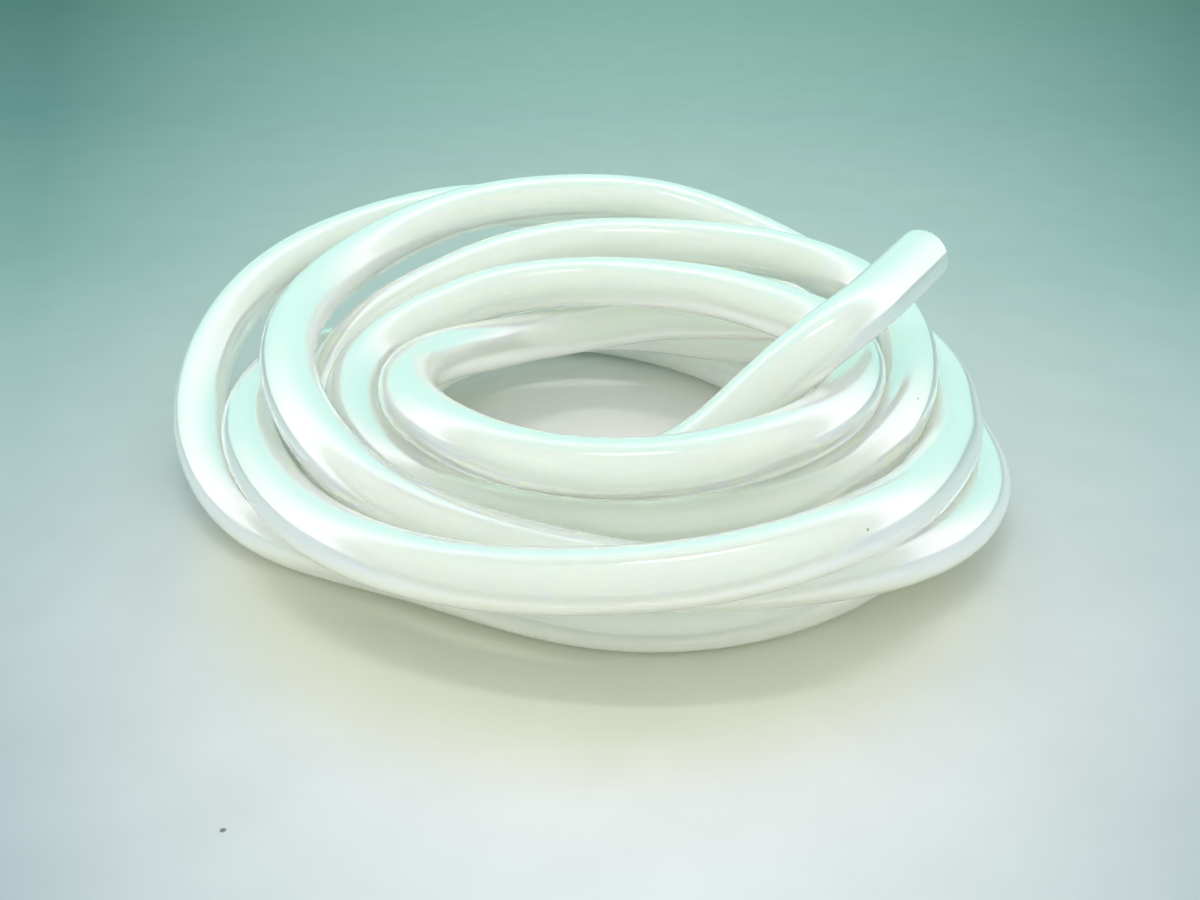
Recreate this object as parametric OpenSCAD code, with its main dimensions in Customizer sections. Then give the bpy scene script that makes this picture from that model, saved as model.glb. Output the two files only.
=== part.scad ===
// Silicone tubing coil: one length of soft clear lab tubing, wound by hand
// into about seven loose turns, lying on a flat surface with one free end up.
// One extrusion, open right through from end to end. Millimetres, +Z up,
// origin on the table under the middle of the coil, front of the coil at -Y.

/* [Tubing] */
// outside diameter of the tubing
tube_od = 12; // [11.5:0.1:12]
// bore of the tubing
tube_id = 8; // [6:0.25:9]

/* [Ends] */
// straight length at the free end that stands up
free_end_len = 22; // [16:1:26]
// straight length at the end tucked in at the right
tucked_end_len = 13; // [10:1:14]

/* [Turns] */
// how far the stack of turns is spread upwards
stack_lift = 1; // [1:0.01:1.1]

/* [Smoothness] */
// sides around the swept wall
sides = 14; // [10:2:16]
// turn between two rings, in degrees, near enough
ring_step = 14; // [13:1:20]

/* [Hidden] */

silicone = [0.86, 0.90, 0.87, 0.75];

outer_r = tube_od / 2;
bore_r = tube_id / 2;
// the swept wall sits just inside the true round wall of the two ends
sweep_outer_r = outer_r - 0.05;
sweep_bore_r = (bore_r + 0.05) / cos(180 / sides);
// the swept wall runs on straight into each round end by lap, and the round
// end starts a little past the last ring
lap = 2.5;
seam = 0.5;
soft_edge = 0.15;
// middle of the turns, so that the whole coil is centred on the origin
middle = [4.2, -3.6];

// centreline: [angle round the coil, distance from its middle, height]
route = [
    // small top loop: from the tucked-away end, low across the back and up to the front
    [41, 45.4, 27.3], [50, 41.6, 26.6], [58, 40.1, 25.8], [66, 40, 24.8], [80, 40, 22.3], [94, 38, 21.1],
    [108, 35.6, 21.3], [122, 34.4, 21.8], [138, 32.8, 23], [154, 33.5, 24.7], [170, 35.5, 26.5], [188, 40, 28.5],
    [206, 44.5, 30.2], [224, 49.5, 31.4], [242, 54.5, 31.8], [260, 59, 31.4], [280, 61.5, 31.6], [300, 61.5, 32.8],
    [318, 61.2, 33.8], [338, 57, 34.7],
    // second loop: high across the back, sinking towards the front
    [361, 49.5, 35.4], [371, 42.5, 35.8], [384, 37, 36.4], [400, 33.8, 36.2], [416, 32.3, 35.6], [434, 32.8, 34.8],
    [452, 35, 34], [470, 37, 33.4], [488, 39.8, 32.9], [504, 42.5, 31], [518, 47.5, 29], [532, 52.3, 26.3],
    [548, 54.5, 23.4], [566, 54.5, 21], [586, 54.2, 19.6], [608, 54, 19], [626, 56, 19.2], [646, 59, 19.4],
    [664, 62, 20], [682, 65, 22.4], [700, 66.2, 26.8],
    // third loop: high across the back, dropping on the left
    [714, 67, 28.6], [728, 69, 30.8], [744, 71, 33], [762, 70, 35], [778, 63.5, 36.2], [796, 61, 36],
    [812, 60, 36], [828, 56.5, 35.6], [842, 54, 34.6], [856, 56, 31], [870, 59, 28], [884, 62.3, 22],
    // its front lies on the table, inside the outer loops
    [900, 63.4, 16], [918, 60.6, 11], [938, 54, 7], [958, 50, 6], [980, 53, 6], [1000, 57, 6],
    [1020, 58, 6], [1050, 56.5, 6],
    // fourth loop: on the table across the back
    [1080, 55, 6], [1096, 54.5, 6], [1112, 54.2, 6], [1128, 56, 6], [1144, 62, 6], [1160, 68.5, 6],
    [1176, 77, 6], [1196, 82, 6.5], [1216, 81, 9.5], [1236, 77, 16],
    // wide front loop, low on the left, raised at the front right
    [1252, 75.5, 19.5], [1270, 76.5, 18.8], [1288, 75.5, 18.5], [1304, 77.5, 18], [1320, 80.3, 19], [1336, 82, 20.3],
    [1350, 84.6, 22.9], [1361, 86.2, 24.4], [1370, 87.6, 26.4], [1379, 86.8, 27.2], [1388, 84.9, 26.9], [1397, 81.6, 25.4],
    [1409, 78, 23.2], [1419, 77.3, 21.2], [1429, 76.3, 20.4], [1438, 77.2, 19.4],
    // top loop: rises at the right, highest at the back, falls along the left
    [1450, 79.3, 19.4], [1464, 78.3, 22], [1478, 79.3, 26.3], [1492, 80, 31.5], [1504, 79, 36.5], [1518, 82, 40.5],
    [1530, 77.5, 42.8], [1546, 76, 43], [1562, 74, 42], [1578, 71, 39.2], [1596, 69.5, 36.3], [1616, 68, 34],
    [1634, 66.5, 30.8], [1652, 66.3, 26.8], [1670, 66.8, 22], [1688, 66, 19], [1704, 70, 18.5], [1722, 77.2, 17.2],
    [1736, 79.8, 16.8], [1750, 82.4, 14.4], [1763, 84.5, 12.6], [1776, 84.3, 11], [1788, 83.4, 9.2],
    // outer loop: on the table at the right, arched behind, down again on the left
    [1802, 82.8, 7.4], [1820, 83.5, 8], [1840, 85.5, 11], [1860, 89, 17], [1880, 91, 27], [1900, 92.5, 35.5],
    [1914, 94, 38], [1930, 98, 34.5], [1944, 96.3, 32.2], [1954, 96, 28], [1966, 94, 21.5], [1978, 90.5, 14],
    [1992, 84.5, 9], [2008, 77.5, 6], [2022, 68, 6], [2038, 63, 6], [2054, 65, 6], [2070, 70, 6],
    [2084, 72.5, 6], [2100, 73.4, 6], [2120, 73, 6], [2140, 71.5, 6],
    // last inner loop, low across the back and left
    [2158, 70, 8], [2174, 65, 14], [2190, 60, 17.6], [2204, 52.6, 18.6], [2218, 51.5, 16], [2232, 54.5, 14.8],
    [2250, 58, 13.2], [2268, 58.5, 12.2], [2290, 56, 11.5], [2316, 51, 10.5], [2342, 47, 10], [2368, 44, 10],
    [2394, 39, 11], [2416, 36.3, 13.6],
    // free end, climbing steeply out of the middle and levelling off
    [2434, 37.5, 17], [2446, 38.5, 20], [2456, 42.5, 24.5], [2464, 46, 31], [2472, 50, 39.1], [2480, 54, 45.3],
    [2489, 57.3, 49.3], [2499, 59.5, 50.5]
];
last = len(route) - 1;

// ---- functions --------------------------------------------------------

// control row i, with one mirrored row past each end
function row(i) =
    i < 0 ? 2 * route[0] - route[1] :
    i > last ? 2 * route[last] - route[last - 1] : route[i];

// smooth row between rows i and i + 1, at t from 0 to 1
function smooth_row(i, t) =
    ((1 - t) * (1 - t) * (1 - t) * row(i - 1)
     + (3 * t * t * t - 6 * t * t + 4) * row(i)
     + (3 * t * t - 3 * t * t * t + 3 * t + 1) * row(i + 1)
     + t * t * t * row(i + 2)) / 6;

// row to a point in space; heights are stretched above the lowest turn
function place(r) =
    [r[1] * cos(r[0]) + middle[0], r[1] * sin(r[0]) + middle[1],
     outer_r + (r[2] - 6) * stack_lift];

function point_at(i, t) = place(smooth_row(i, t));

function unit(v) = v / norm(v);

// steps between rows i and i + 1
function steps(i) = max(1, round((route[i + 1][0] - route[i][0]) / ring_step));

stations = concat(
    [for (i = [0 : last - 1]) for (j = [0 : steps(i) - 1]) [i, j / steps(i)]],
    [[last - 1, 1]]);

// direction of travel at a station
function heading(s) =
    let (e = 0.02, a = max(0, s[1] - e), b = min(1, s[1] + e))
    unit(point_at(s[0], b) - point_at(s[0], a));

// two directions square to the travel: sideways, and as near up as it can be
function across(h) = unit(cross(h, [0, 0, 1]));
function upward(h) = cross(across(h), h);

// ring of n points of radius r round point p, travelling along h
function ring(p, h, r, n) =
    [for (k = [0 : n - 1])
        let (a = 360 * (k + 0.5) / n)
        p + r * (cos(a) * across(h) + sin(a) * upward(h))];

function flat(v) = [for (a = v) for (b = a) b];

// every ring of radius r, with a straight run into both round ends
function rings(r, n) =
    let (a = stations[0], b = stations[len(stations) - 1],
         ha = heading(a), hb = heading(b))
    concat(
        ring(point_at(a[0], a[1]) - lap * ha, ha, r, n),
        flat([for (s = stations) ring(point_at(s[0], s[1]), heading(s), r, n)]),
        ring(point_at(b[0], b[1]) + lap * hb, hb, r, n));

// ---- the tubing -------------------------------------------------------

// hollow sweep: all the outer rings first, then all the bore rings
module swept_wall() {
    n = sides;
    count = len(stations) + 2;
    base = count * n;
    far = (count - 1) * n;
    outer = rings(sweep_outer_r, n);
    inner = rings(sweep_bore_r, n);
    // each face has a at k, b at the next point round the same ring
    outer_faces = [for (i = [0 : count - 2]) for (k = [0 : n - 1])
        let (a = i * n + k, b = i * n + (k + 1) % n)
        for (f = [[a, b, b + n], [a, b + n, a + n]]) f];
    inner_faces = [for (i = [0 : count - 2]) for (k = [0 : n - 1])
        let (a = base + i * n + k, b = base + i * n + (k + 1) % n)
        for (f = [[b, a, a + n], [b, a + n, b + n]]) f];
    // the flat wall at each end, between the outer and the bore ring
    first_wall = [for (k = [0 : n - 1]) let (j = (k + 1) % n)
        for (f = [[j, k, base + k], [j, base + k, base + j]]) f];
    last_wall = [for (k = [0 : n - 1]) let (j = (k + 1) % n)
        for (f = [[far + k, far + j, base + far + j],
                  [far + k, base + far + j, base + far + k]]) f];
    polyhedron(points = concat(outer, inner),
        faces = concat(outer_faces, inner_faces, first_wall, last_wall),
        convexity = 12);
}

// true round end, from p outwards along h
module round_end(p, h, length) {
    s = across(h);
    u = upward(h);
    multmatrix([
        [s[0], -u[0], h[0], p[0]],
        [s[1], -u[1], h[1], p[1]],
        [s[2], -u[2], h[2], p[2]],
        [0, 0, 0, 1]])
    difference() {
        translate([0, 0, seam])
            cylinder(r = outer_r, h = length - seam, $fn = 64);
        translate([0, 0, seam - 1])
            cylinder(r = bore_r, h = length + 2, $fn = 64);
        // the bore opens a little to meet the swept bore behind it
        translate([0, 0, seam - 0.1])
            cylinder(r1 = bore_r + 0.4, r2 = bore_r, h = 0.4, $fn = 64);
        // the cut edge of the bore is a hair soft
        translate([0, 0, length - soft_edge])
            cylinder(r1 = bore_r, r2 = bore_r + 2 * soft_edge,
                h = 2 * soft_edge, $fn = 64);
    }
}

module tubing() {
    h0 = heading(stations[0]);
    h1 = heading(stations[len(stations) - 1]);
    color(silicone) {
        swept_wall();
        round_end(point_at(0, 0), -h0, tucked_end_len);
        round_end(point_at(last - 1, 1), h1, free_end_len);
    }
}

tubing();
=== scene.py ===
import bpy
import math
from mathutils import Vector, Matrix, noise


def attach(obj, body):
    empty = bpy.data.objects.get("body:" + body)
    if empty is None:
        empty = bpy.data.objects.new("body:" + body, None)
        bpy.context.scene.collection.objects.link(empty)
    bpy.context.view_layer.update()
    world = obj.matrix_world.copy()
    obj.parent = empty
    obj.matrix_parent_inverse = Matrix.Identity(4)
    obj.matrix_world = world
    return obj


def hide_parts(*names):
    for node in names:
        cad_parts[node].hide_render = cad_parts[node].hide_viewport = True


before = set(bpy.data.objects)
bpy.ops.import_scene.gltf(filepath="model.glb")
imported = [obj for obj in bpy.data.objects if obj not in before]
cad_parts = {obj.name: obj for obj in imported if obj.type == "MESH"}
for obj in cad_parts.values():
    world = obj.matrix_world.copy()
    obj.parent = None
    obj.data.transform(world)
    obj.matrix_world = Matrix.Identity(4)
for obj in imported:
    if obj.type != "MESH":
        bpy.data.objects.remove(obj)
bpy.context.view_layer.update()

# ---- sizes, in metres ------------------------------------------------------
OUTER_R = 0.006
BORE_R = 0.004
FREE_END = 0.022
TUCKED_END = 0.013
MIDDLE = (0.0042, -0.0036)

# centreline of the tubing: angle round the coil, distance from its middle, height
ROUTE = [
    # small top loop
    (41, 0.0454, 0.0273),
    (50, 0.0416, 0.0266),
    (58, 0.0401, 0.0258),
    (66, 0.04, 0.0248),
    (80, 0.04, 0.0223),
    (94, 0.038, 0.0211),
    (108, 0.0356, 0.0213),
    (122, 0.0344, 0.0218),
    (138, 0.0328, 0.023),
    (154, 0.0335, 0.0247),
    (170, 0.0355, 0.0265),
    (188, 0.04, 0.0285),
    (206, 0.0445, 0.0302),
    (224, 0.0495, 0.0314),
    (242, 0.0545, 0.0318),
    (260, 0.059, 0.0314),
    (280, 0.0615, 0.0316),
    (300, 0.0615, 0.0328),
    (318, 0.0612, 0.0338),
    (338, 0.057, 0.0347),
    # second loop
    (361, 0.0495, 0.0354),
    (371, 0.0425, 0.0358),
    (384, 0.037, 0.0364),
    (400, 0.0338, 0.0362),
    (416, 0.0323, 0.0356),
    (434, 0.0328, 0.0348),
    (452, 0.035, 0.034),
    (470, 0.037, 0.0334),
    (488, 0.0398, 0.0329),
    (504, 0.0425, 0.031),
    (518, 0.0475, 0.029),
    (532, 0.0523, 0.0263),
    (548, 0.0545, 0.0234),
    (566, 0.0545, 0.021),
    (586, 0.0542, 0.0196),
    (608, 0.054, 0.019),
    (626, 0.056, 0.0192),
    (646, 0.059, 0.0194),
    (664, 0.062, 0.02),
    (682, 0.065, 0.0224),
    (700, 0.0662, 0.0268),
    # third loop
    (714, 0.067, 0.0286),
    (728, 0.069, 0.0308),
    (744, 0.071, 0.033),
    (762, 0.07, 0.035),
    (778, 0.0635, 0.0362),
    (796, 0.061, 0.036),
    (812, 0.06, 0.036),
    (828, 0.0565, 0.0356),
    (842, 0.054, 0.0346),
    (856, 0.056, 0.031),
    (870, 0.059, 0.028),
    (884, 0.0623, 0.022),
    # its front, on the table
    (900, 0.0634, 0.016),
    (918, 0.0606, 0.011),
    (938, 0.054, 0.007),
    (958, 0.05, 0.006),
    (980, 0.053, 0.006),
    (1000, 0.057, 0.006),
    (1020, 0.058, 0.006),
    (1050, 0.0565, 0.006),
    # fourth loop, on the table at the back
    (1080, 0.055, 0.006),
    (1096, 0.0545, 0.006),
    (1112, 0.0542, 0.006),
    (1128, 0.056, 0.006),
    (1144, 0.062, 0.006),
    (1160, 0.0685, 0.006),
    (1176, 0.077, 0.006),
    (1196, 0.082, 0.0065),
    (1216, 0.081, 0.0095),
    (1236, 0.077, 0.016),
    # wide front loop
    (1252, 0.0755, 0.0195),
    (1270, 0.0765, 0.0188),
    (1288, 0.0755, 0.0185),
    (1304, 0.0775, 0.018),
    (1320, 0.0803, 0.019),
    (1336, 0.082, 0.0203),
    (1350, 0.0846, 0.0229),
    (1361, 0.0862, 0.0244),
    (1370, 0.0876, 0.0264),
    (1379, 0.0868, 0.0272),
    (1388, 0.0849, 0.0269),
    (1397, 0.0816, 0.0254),
    (1409, 0.078, 0.0232),
    (1419, 0.0773, 0.0212),
    (1429, 0.0763, 0.0204),
    (1438, 0.0772, 0.0194),
    # top loop
    (1450, 0.0793, 0.0194),
    (1464, 0.0783, 0.022),
    (1478, 0.0793, 0.0263),
    (1492, 0.08, 0.0315),
    (1504, 0.079, 0.0365),
    (1518, 0.082, 0.0405),
    (1530, 0.0775, 0.0428),
    (1546, 0.076, 0.043),
    (1562, 0.074, 0.042),
    (1578, 0.071, 0.0392),
    (1596, 0.0695, 0.0363),
    (1616, 0.068, 0.034),
    (1634, 0.0665, 0.0308),
    (1652, 0.0663, 0.0268),
    (1670, 0.0668, 0.022),
    (1688, 0.066, 0.019),
    (1704, 0.07, 0.0185),
    (1722, 0.0772, 0.0172),
    (1736, 0.0798, 0.0168),
    (1750, 0.0824, 0.0144),
    (1763, 0.0845, 0.0126),
    (1776, 0.0843, 0.011),
    (1788, 0.0834, 0.0092),
    # outer loop
    (1802, 0.0828, 0.0074),
    (1820, 0.0835, 0.008),
    (1840, 0.0855, 0.011),
    (1860, 0.089, 0.017),
    (1880, 0.091, 0.027),
    (1900, 0.0925, 0.0355),
    (1914, 0.094, 0.038),
    (1930, 0.098, 0.0345),
    (1944, 0.0963, 0.0322),
    (1954, 0.096, 0.028),
    (1966, 0.094, 0.0215),
    (1978, 0.0905, 0.014),
    (1992, 0.0845, 0.009),
    (2008, 0.0775, 0.006),
    (2022, 0.068, 0.006),
    (2038, 0.063, 0.006),
    (2054, 0.065, 0.006),
    (2070, 0.07, 0.006),
    (2084, 0.0725, 0.006),
    (2100, 0.0734, 0.006),
    (2120, 0.073, 0.006),
    (2140, 0.0715, 0.006),
    # last inner loop
    (2158, 0.07, 0.008),
    (2174, 0.065, 0.014),
    (2190, 0.06, 0.0176),
    (2204, 0.0526, 0.0186),
    (2218, 0.0515, 0.016),
    (2232, 0.0545, 0.0148),
    (2250, 0.058, 0.0132),
    (2268, 0.0585, 0.0122),
    (2290, 0.056, 0.0115),
    (2316, 0.051, 0.0105),
    (2342, 0.047, 0.01),
    (2368, 0.044, 0.01),
    (2394, 0.039, 0.011),
    (2416, 0.0363, 0.0136),
    # free end
    (2434, 0.0375, 0.017),
    (2446, 0.0385, 0.02),
    (2456, 0.0425, 0.0245),
    (2464, 0.046, 0.031),
    (2472, 0.05, 0.0391),
    (2480, 0.054, 0.0453),
    (2489, 0.0573, 0.0493),
    (2499, 0.0595, 0.0505),
]


# ---- camera ----------------------------------------------------------------
cam_data = bpy.data.cameras.new("camera")
cam = bpy.data.objects.new("camera", cam_data)
bpy.context.scene.collection.objects.link(cam)
cam.location = (MIDDLE[0], MIDDLE[1] - 0.295, 0.150)
cam.rotation_euler = (math.radians(64), 0, 0)
cam_data.lens = 43.5
cam_data.sensor_width = 36
cam_data.clip_start = 0.01
cam_data.clip_end = 20
bpy.context.scene.camera = cam


# ---- centreline ------------------------------------------------------------
def row(i):
    n = len(ROUTE) - 1
    if i < 0:
        return [2 * a - b for a, b in zip(ROUTE[0], ROUTE[1])]
    if i > n:
        return [2 * a - b for a, b in zip(ROUTE[n], ROUTE[n - 1])]
    return ROUTE[i]


def smooth_point(i, t):
    w = (
        (1 - t) ** 3 / 6,
        (3 * t**3 - 6 * t * t + 4) / 6,
        (3 * t * t - 3 * t**3 + 3 * t + 1) / 6,
        t**3 / 6,
    )
    r = [sum(w[k] * row(i - 1 + k)[c] for k in range(4)) for c in range(3)]
    a = math.radians(r[0])
    return Vector((r[1] * math.cos(a) + MIDDLE[0], r[1] * math.sin(a) + MIDDLE[1], r[2]))


def centreline(step):
    """Points every `step` metres from the tucked end to the free end."""
    raw = []
    for i in range(len(ROUTE) - 1):
        for j in range(16):
            raw.append(smooth_point(i, j / 16))
    raw.append(smooth_point(len(ROUTE) - 2, 1))
    first = (raw[0] - raw[1]).normalized()
    final = (raw[-1] - raw[-2]).normalized()
    raw = [raw[0] + first * TUCKED_END] + raw + [raw[-1] + final * FREE_END]
    total = sum((b - a).length for a, b in zip(raw, raw[1:]))
    count = round(total / step)
    out, run, k = [raw[0].copy()], 0.0, 0
    seg = (raw[1] - raw[0]).length
    for n in range(1, count):
        want = total * n / count
        while run + seg < want and k < len(raw) - 2:
            run += seg
            k += 1
            seg = (raw[k + 1] - raw[k]).length
        out.append(raw[k].lerp(raw[k + 1], (want - run) / seg))
    out.append(raw[-1].copy())
    return out, total


STEP = 0.0020
SIDES_OUT = 36
SIDES_IN = 20
line, LENGTH = centreline(STEP)


def headings(pts):
    out = []
    for i in range(len(pts)):
        a, b = pts[max(0, i - 1)], pts[min(len(pts) - 1, i + 1)]
        out.append((b - a).normalized())
    return out


heads = headings(line)


# ---- the tubing ------------------------------------------------------------
def tube_mesh(part):
    """Mesh of one skin of the tubing: "outside" with its cut faces, or "bore"."""
    verts, faces, uvs = [], [], []
    up = Vector((0, 0, 1))
    n, m, count = SIDES_OUT, SIDES_IN, len(line)

    def ring(i, radius, sides, wobble):
        p, h = line[i], heads[i]
        s = h.cross(up).normalized()
        u = s.cross(h)
        along = LENGTH * i / (count - 1)
        for k in range(sides):
            a = 2 * math.pi * k / sides
            d = math.cos(a) * s + math.sin(a) * u
            r = radius
            if wobble:
                # hand-wound soft tubing goes a hair oval in the bends and is not quite even
                r += 0.00004 * noise.noise(Vector((math.cos(a), math.sin(a), along * 22)))
                r -= 0.00012
            verts.append(p + d * r)

    # outer skin, rounded a little at the two cut edges
    base = 0
    if part == "outside":
        for i in range(count):
            ring(i, OUTER_R, n, True)
    else:
        for i in range(count):
            ring(i, BORE_R, m, False)

    for i in range(count - 1 if part == "outside" else 0):
        v0, v1 = i * n, (i + 1) * n
        for k in range(n):
            j = (k + 1) % n
            faces.append((v0 + k, v0 + j, v1 + j, v1 + k))
            u0, u1 = k / n, (k + 1) / n
            a0, a1 = LENGTH * i / (count - 1), LENGTH * (i + 1) / (count - 1)
            uvs.append(((u0, a0), (u1, a0), (u1, a1), (u0, a1)))
    for i in range(count - 1 if part == "bore" else 0):
        v0, v1 = base + i * m, base + (i + 1) * m
        for k in range(m):
            j = (k + 1) % m
            faces.append((v0 + j, v0 + k, v1 + k, v1 + j))
            u0, u1 = k / m, (k + 1) / m
            a0, a1 = LENGTH * i / (count - 1), LENGTH * (i + 1) / (count - 1)
            uvs.append(((u1, a0), (u0, a0), (u0, a1), (u1, a1)))

    # the two cut faces, with a small step in from the outer edge
    for i, flip in ((0, False), (count - 1, True)) if part == "outside" else ():
        p, h = line[i], heads[i]
        out_dir = h if flip else -h
        s = h.cross(up).normalized()
        u = s.cross(h)
        edge = len(verts)
        verts.extend(verts[i * n:i * n + n])
        rim = len(verts)
        for k in range(n):
            a = 2 * math.pi * k / n
            d = math.cos(a) * s + math.sin(a) * u
            verts.append(p + d * (OUTER_R - 0.00025) + out_dir * 0.00012)
        lip = len(verts)
        for k in range(n):
            a = 2 * math.pi * k / n
            d = math.cos(a) * s + math.sin(a) * u
            verts.append(p + d * (BORE_R + 0.00015) + out_dir * 0.00010)
        mouth = len(verts)
        for k in range(m):
            a = 2 * math.pi * k / m
            verts.append(p + (math.cos(a) * s + math.sin(a) * u) * BORE_R)
        o, q = edge, mouth
        for k in range(n):
            j = (k + 1) % n
            a = (o + k, rim + k, rim + j, o + j)
            b = (rim + k, lip + k, lip + j, rim + j)
            for f in (a, b):
                faces.append(f if not flip else f[::-1])
                uvs.append(((0, 0), (0.1, 0), (0.1, 0.001), (0, 0.001)))
        # bore edge: n points on the lip against m points of the bore
        k = j = 0
        while k < n or j < m:
            if j >= m or (k < n and (k + 1) / n <= (j + 1) / m):
                f = (lip + k % n, q + j % m, lip + (k + 1) % n)
                k += 1
            else:
                f = (lip + k % n, q + j % m, q + (j + 1) % m)
                j += 1
            faces.append(f if not flip else f[::-1])
            uvs.append(((0, 0), (0.1, 0), (0.1, 0.001)))
    me = bpy.data.meshes.new("tubing_" + part)
    me.from_pydata([tuple(v) for v in verts], [], faces)
    layer = me.uv_layers.new(name="round_and_along")
    flat = []
    for f in uvs:
        for c in f:
            flat.extend(c)
    layer.data.foreach_set("uv", flat)
    me.polygons.foreach_set("use_smooth", [True] * len(me.polygons))
    me.update()
    me.validate()
    return me


tube = bpy.data.objects.new("tubing_visual", tube_mesh("outside"))
bore = bpy.data.objects.new("tubing_bore_visual", tube_mesh("bore"))
bpy.context.scene.collection.objects.link(tube)
bpy.context.scene.collection.objects.link(bore)
for skin_part in (tube, bore):
    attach(skin_part, "root")
    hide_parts("tubing")


# ---- materials ---------------------------------------------------------------
def nodes_of(name):
    mat = bpy.data.materials.new(name)
    mat.use_nodes = True
    nt = mat.node_tree
    for n in list(nt.nodes):
        nt.nodes.remove(n)
    return mat, nt


def add(nt, kind, **values):
    n = nt.nodes.new(kind)
    for k, v in values.items():
        if hasattr(n, k):
            setattr(n, k, v)
        else:
            n.inputs[k.replace("_", " ")].default_value = v
    return n


silicone, nt = nodes_of("silicone")
out = add(nt, "ShaderNodeOutputMaterial")
skin = add(nt, "ShaderNodeBsdfPrincipled")
nt.links.new(skin.outputs[0], out.inputs["Surface"])
silicone.cycles.emission_sampling = "NONE"
skin.inputs["IOR"].default_value = 1.41
skin.inputs["Transmission Weight"].default_value = 0.62
skin.inputs["Subsurface Weight"].default_value = 0.8
skin.inputs["Subsurface Radius"].default_value = (1.0, 1.0, 0.55)
skin.inputs["Subsurface Scale"].default_value = 0.010
# painted glow: a faint emission stands in for light spread inside the milky wall
skin.inputs["Emission Color"].default_value = (0.84, 0.95, 0.80, 1)
skin.inputs["Emission Strength"].default_value = 0.06
coords = add(nt, "ShaderNodeTexCoord")
# slow cloudiness of the silicone
cloud = add(nt, "ShaderNodeTexNoise")
cloud.inputs["Scale"].default_value = 28
cloud.inputs["Detail"].default_value = 3
nt.links.new(coords.outputs["Object"], cloud.inputs["Vector"])
tone = add(nt, "ShaderNodeValToRGB")
tone.color_ramp.elements[0].position = 0.3
tone.color_ramp.elements[0].color = (0.92, 0.96, 0.90, 1)
tone.color_ramp.elements[1].position = 0.7
tone.color_ramp.elements[1].color = (0.945, 0.975, 0.92, 1)
nt.links.new(cloud.outputs["Fac"], tone.inputs["Fac"])
# dust: a few fine dark specks
speck = add(nt, "ShaderNodeTexVoronoi")
speck.inputs["Scale"].default_value = 160
nt.links.new(coords.outputs["Object"], speck.inputs["Vector"])
near = add(nt, "ShaderNodeMath", operation="LESS_THAN")
near.inputs[1].default_value = 0.045
nt.links.new(speck.outputs["Distance"], near.inputs[0])
split = add(nt, "ShaderNodeSeparateColor")
nt.links.new(speck.outputs["Color"], split.inputs[0])
few = add(nt, "ShaderNodeMath", operation="GREATER_THAN")
few.inputs[1].default_value = 0.93
nt.links.new(split.outputs[0], few.inputs[0])
dots = add(nt, "ShaderNodeMath", operation="MULTIPLY")
nt.links.new(near.outputs[0], dots.inputs[0])
nt.links.new(few.outputs[0], dots.inputs[1])
dusty = add(nt, "ShaderNodeMix", data_type="RGBA")
nt.links.new(dots.outputs[0], dusty.inputs[0])
nt.links.new(tone.outputs[0], dusty.inputs[6])
dusty.inputs[7].default_value = (0.22, 0.23, 0.19, 1)
nt.links.new(dusty.outputs[2], skin.inputs["Base Color"])
# faint lines left along the tubing by the die, and a soft haze that comes and goes
uv = add(nt, "ShaderNodeUVMap", uv_map="round_and_along")
stretch = add(nt, "ShaderNodeMapping")
stretch.inputs["Scale"].default_value = (60, 1.5, 1)
nt.links.new(uv.outputs[0], stretch.inputs["Vector"])
die = add(nt, "ShaderNodeTexNoise")
die.inputs["Scale"].default_value = 1
die.inputs["Detail"].default_value = 2
nt.links.new(stretch.outputs[0], die.inputs["Vector"])
haze = add(nt, "ShaderNodeTexNoise")
haze.inputs["Scale"].default_value = 60
haze.inputs["Detail"].default_value = 4
nt.links.new(coords.outputs["Object"], haze.inputs["Vector"])
rough = add(nt, "ShaderNodeMapRange")
rough.inputs["From Min"].default_value = 0.3
rough.inputs["From Max"].default_value = 0.7
rough.inputs["To Min"].default_value = 0.11
rough.inputs["To Max"].default_value = 0.16
nt.links.new(haze.outputs["Fac"], rough.inputs["Value"])
nt.links.new(rough.outputs[0], skin.inputs["Roughness"])
bump = add(nt, "ShaderNodeBump")
bump.inputs["Strength"].default_value = 0.12
bump.inputs["Distance"].default_value = 0.00006
nt.links.new(die.outputs["Fac"], bump.inputs["Height"])
nt.links.new(bump.outputs[0], skin.inputs["Normal"])
tube.data.materials.append(silicone)
bore.data.materials.append(silicone)

# ---- floor ---------------------------------------------------------------------
bpy.ops.mesh.primitive_plane_add(size=1, location=(0, 0.6, 0))
floor = bpy.context.object
floor.name = "floor"
floor.scale = (6, 6, 1)
floor.location = (0, 1.2, -0.00005)
paper, nt = nodes_of("paper")
out = add(nt, "ShaderNodeOutputMaterial")
face = add(nt, "ShaderNodeBsdfPrincipled")
nt.links.new(face.outputs[0], out.inputs["Surface"])
face.inputs["Roughness"].default_value = 0.8
face.inputs["Specular IOR Level"].default_value = 0.2
where = add(nt, "ShaderNodeNewGeometry")
xyz = add(nt, "ShaderNodeSeparateXYZ")
nt.links.new(where.outputs["Position"], xyz.inputs[0])


def ramp(nt, source, stops):
    node = add(nt, "ShaderNodeValToRGB")
    node.color_ramp.elements[0].position = stops[0][0]
    node.color_ramp.elements[0].color = stops[0][1] + (1,)
    node.color_ramp.elements[1].position = stops[-1][0]
    node.color_ramp.elements[1].color = stops[-1][1] + (1,)
    for at, colour in stops[1:-1]:
        node.color_ramp.elements.new(at).color = colour + (1,)
    nt.links.new(source, node.inputs["Fac"])
    return node.outputs[0]
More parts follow.
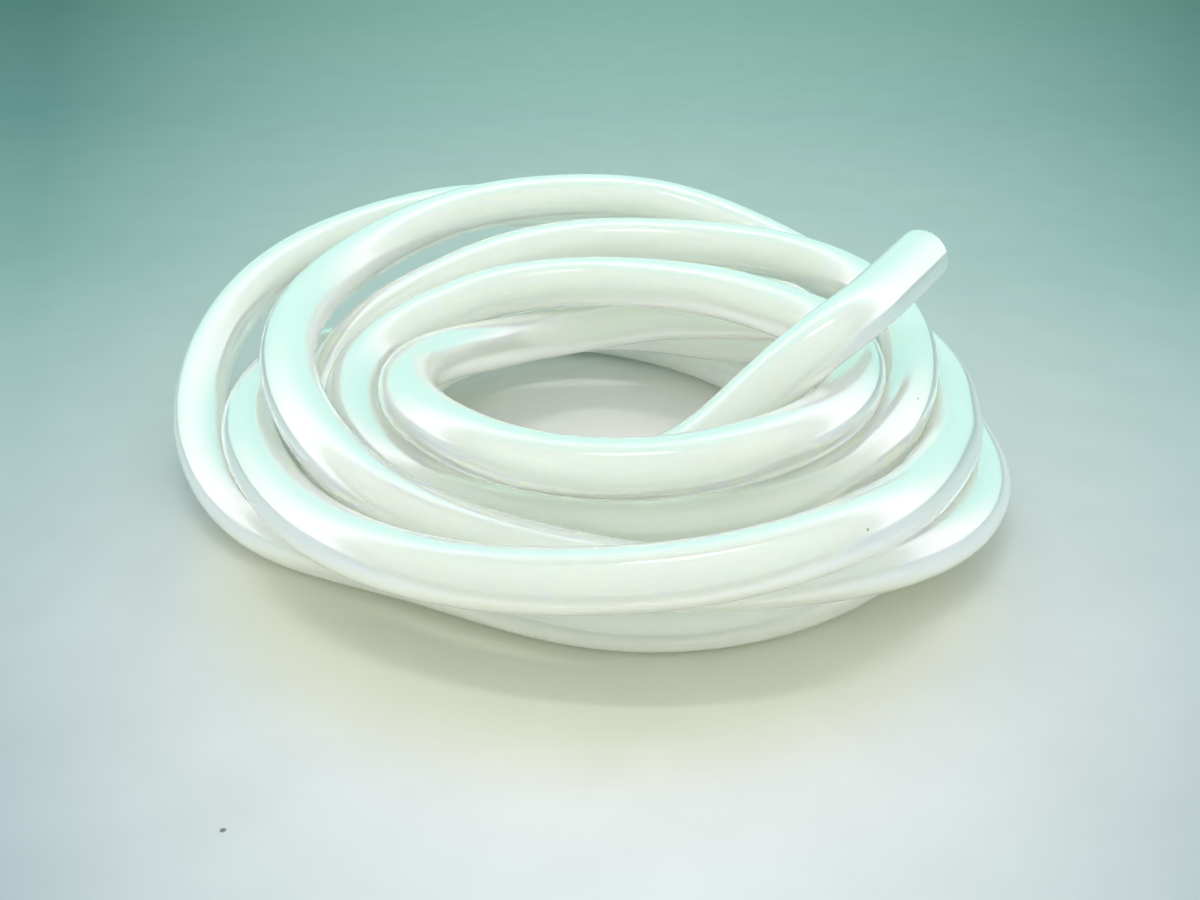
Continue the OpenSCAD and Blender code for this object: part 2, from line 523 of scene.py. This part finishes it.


# the paper goes from white in front to green at the back; the darkening to both sides is painted
# shade, a fall-off of the light towards the sides of the view
back = add(nt, "ShaderNodeMapRange")
back.inputs["From Min"].default_value = -0.15
back.inputs["From Max"].default_value = 0.65
nt.links.new(xyz.outputs["Y"], back.inputs["Value"])
along_middle = ramp(
    nt,
    back.outputs[0],
    (
        (0.00, (0.760, 0.792, 0.812)),
        (0.06, (0.823, 0.823, 0.812)),
        (0.17, (0.707, 0.747, 0.737)),
        (0.35, (0.469, 0.599, 0.581)),
        (0.64, (0.318, 0.496, 0.459)),
        (1.00, (0.235, 0.432, 0.375)),
    ),
)
along_sides_painted_shade = ramp(
    nt,
    back.outputs[0],
    (
        (0.00, (0.428, 0.501, 0.537)),
        (0.10, (0.510, 0.582, 0.610)),
        (0.20, (0.419, 0.546, 0.546)),
        (0.39, (0.218, 0.391, 0.364)),
        (0.64, (0.118, 0.273, 0.255)),
        (1.00, (0.068, 0.200, 0.168)),
    ),
)
# painted shade: the mask below darkens the paper towards the sides of the view
depth = add(nt, "ShaderNodeMath", operation="ADD")
depth.inputs[1].default_value = 0.40
nt.links.new(xyz.outputs["Y"], depth.inputs[0])
depth_kept = add(nt, "ShaderNodeMath", operation="MAXIMUM")
depth_kept.inputs[1].default_value = 0.22
nt.links.new(depth.outputs[0], depth_kept.inputs[0])
aside = add(nt, "ShaderNodeMath", operation="DIVIDE")
nt.links.new(xyz.outputs["X"], aside.inputs[0])
nt.links.new(depth_kept.outputs[0], aside.inputs[1])
shifted = add(nt, "ShaderNodeMath", operation="SUBTRACT")
nt.links.new(aside.outputs[0], shifted.inputs[0])
shifted.inputs[1].default_value = 0.03
square = add(nt, "ShaderNodeMath", operation="MULTIPLY")
nt.links.new(shifted.outputs[0], square.inputs[0])
nt.links.new(shifted.outputs[0], square.inputs[1])
side_shade_mask = add(nt, "ShaderNodeMapRange")
side_shade_mask.inputs["From Min"].default_value = 0.0
side_shade_mask.inputs["From Max"].default_value = 0.125
nt.links.new(square.outputs[0], side_shade_mask.inputs["Value"])
shade = add(nt, "ShaderNodeMix", data_type="RGBA")
nt.links.new(side_shade_mask.outputs[0], shade.inputs[0])
nt.links.new(along_middle, shade.inputs[6])
nt.links.new(along_sides_painted_shade, shade.inputs[7])


def near_point(nt, centre, inner, outer, colour_in, colour_under):
    """Mix in a colour round one point of the table, fading from inner to outer."""
    gap = add(nt, "ShaderNodeVectorMath", operation="DISTANCE")
    gap.inputs[1].default_value = centre
    nt.links.new(where.outputs["Position"], gap.inputs[0])
    fade = add(nt, "ShaderNodeMapRange", interpolation_type="SMOOTHSTEP")
    fade.inputs["From Min"].default_value = outer
    fade.inputs["From Max"].default_value = inner
    nt.links.new(gap.outputs["Value"], fade.inputs["Value"])
    mix = add(nt, "ShaderNodeMix", data_type="RGBA")
    nt.links.new(fade.outputs[0], mix.inputs[0])
    nt.links.new(colour_under, mix.inputs[6])
    mix.inputs[7].default_value = colour_in
    return mix.outputs[2]


# painted shadow and painted light: the light that comes through the turns falls yellow-green round
# them, and white in their middle; both are painted into the table's colour
# painted shadow: olive ring round the coil
paper_with_painted_light = near_point(nt, (0.004, -0.030, 0.0), 0.066, 0.092, (0.74, 0.75, 0.62, 1), shade.outputs[2])
# painted pool of light: white disc in the middle of the coil
paper_with_painted_light = near_point(nt, (0.006, 0.022, 0.0), 0.026, 0.055, (0.95, 0.94, 0.92, 1), paper_with_painted_light)
# one crumb in front, and the slight mottle of the paper
paper_with_painted_light = near_point(nt, (-0.0537, -0.1241, 0.0), 0.0003, 0.0007, (0.20, 0.21, 0.23, 1), paper_with_painted_light)
mottle = add(nt, "ShaderNodeTexNoise")
mottle.inputs["Scale"].default_value = 55
mottle.inputs["Detail"].default_value = 5
nt.links.new(where.outputs["Position"], mottle.inputs["Vector"])
uneven = add(nt, "ShaderNodeMapRange")
uneven.inputs["From Min"].default_value = 0.3
uneven.inputs["From Max"].default_value = 0.7
uneven.inputs["To Min"].default_value = 0.955
uneven.inputs["To Max"].default_value = 1.0
nt.links.new(mottle.outputs["Fac"], uneven.inputs["Value"])
worn = add(nt, "ShaderNodeVectorMath", operation="SCALE")
nt.links.new(paper_with_painted_light, worn.inputs[0])
nt.links.new(uneven.outputs[0], worn.inputs["Scale"])
nt.links.new(worn.outputs[0], face.inputs["Base Color"])
floor.data.materials.append(paper)


# ---- lights --------------------------------------------------------------------
def softbox(name, place, aim, size, power, colour):
    data = bpy.data.lights.new(name, "AREA")
    data.shape = "RECTANGLE"
    data.size, data.size_y = size
    data.energy = power
    data.color = colour
    o = bpy.data.objects.new(name, data)
    o.location = place
    o.rotation_euler = (Vector(aim) - Vector(place)).to_track_quat("-Z", "Y").to_euler()
    bpy.context.scene.collection.objects.link(o)
    return o


softbox("overhead", (0.0, -0.16, 0.75), (0, 0, 0), (0.26, 0.035), 0.75, (0.97, 0.99, 1.0))

world = bpy.data.worlds.new("room")
bpy.context.scene.world = world
world.use_nodes = True
wn = world.node_tree
bg = wn.nodes["Background"]
bg.inputs[1].default_value = 1.0
# a pale room, green low down behind where the paper sweeps up
ways = wn.nodes.new("ShaderNodeTexCoord")
way = wn.nodes.new("ShaderNodeSeparateXYZ")
wn.links.new(ways.outputs["Generated"], way.inputs[0])
behind = wn.nodes.new("ShaderNodeMapRange")
behind.inputs["From Min"].default_value = 0.35
behind.inputs["From Max"].default_value = 0.75
wn.links.new(way.outputs["Y"], behind.inputs["Value"])
sky = wn.nodes.new("ShaderNodeMix")
sky.data_type = "RGBA"
sky.inputs[6].default_value = (0.98, 1.0, 0.99, 1)
sky.inputs[7].default_value = (0.45, 0.85, 0.76, 1)
wn.links.new(behind.outputs[0], sky.inputs[0])
wn.links.new(sky.outputs[2], bg.inputs[0])
bpy.context.scene.view_settings.view_transform = "Standard"
bpy.context.scene.cycles.max_bounces = 8
bpy.context.scene.cycles.transmission_bounces = 6
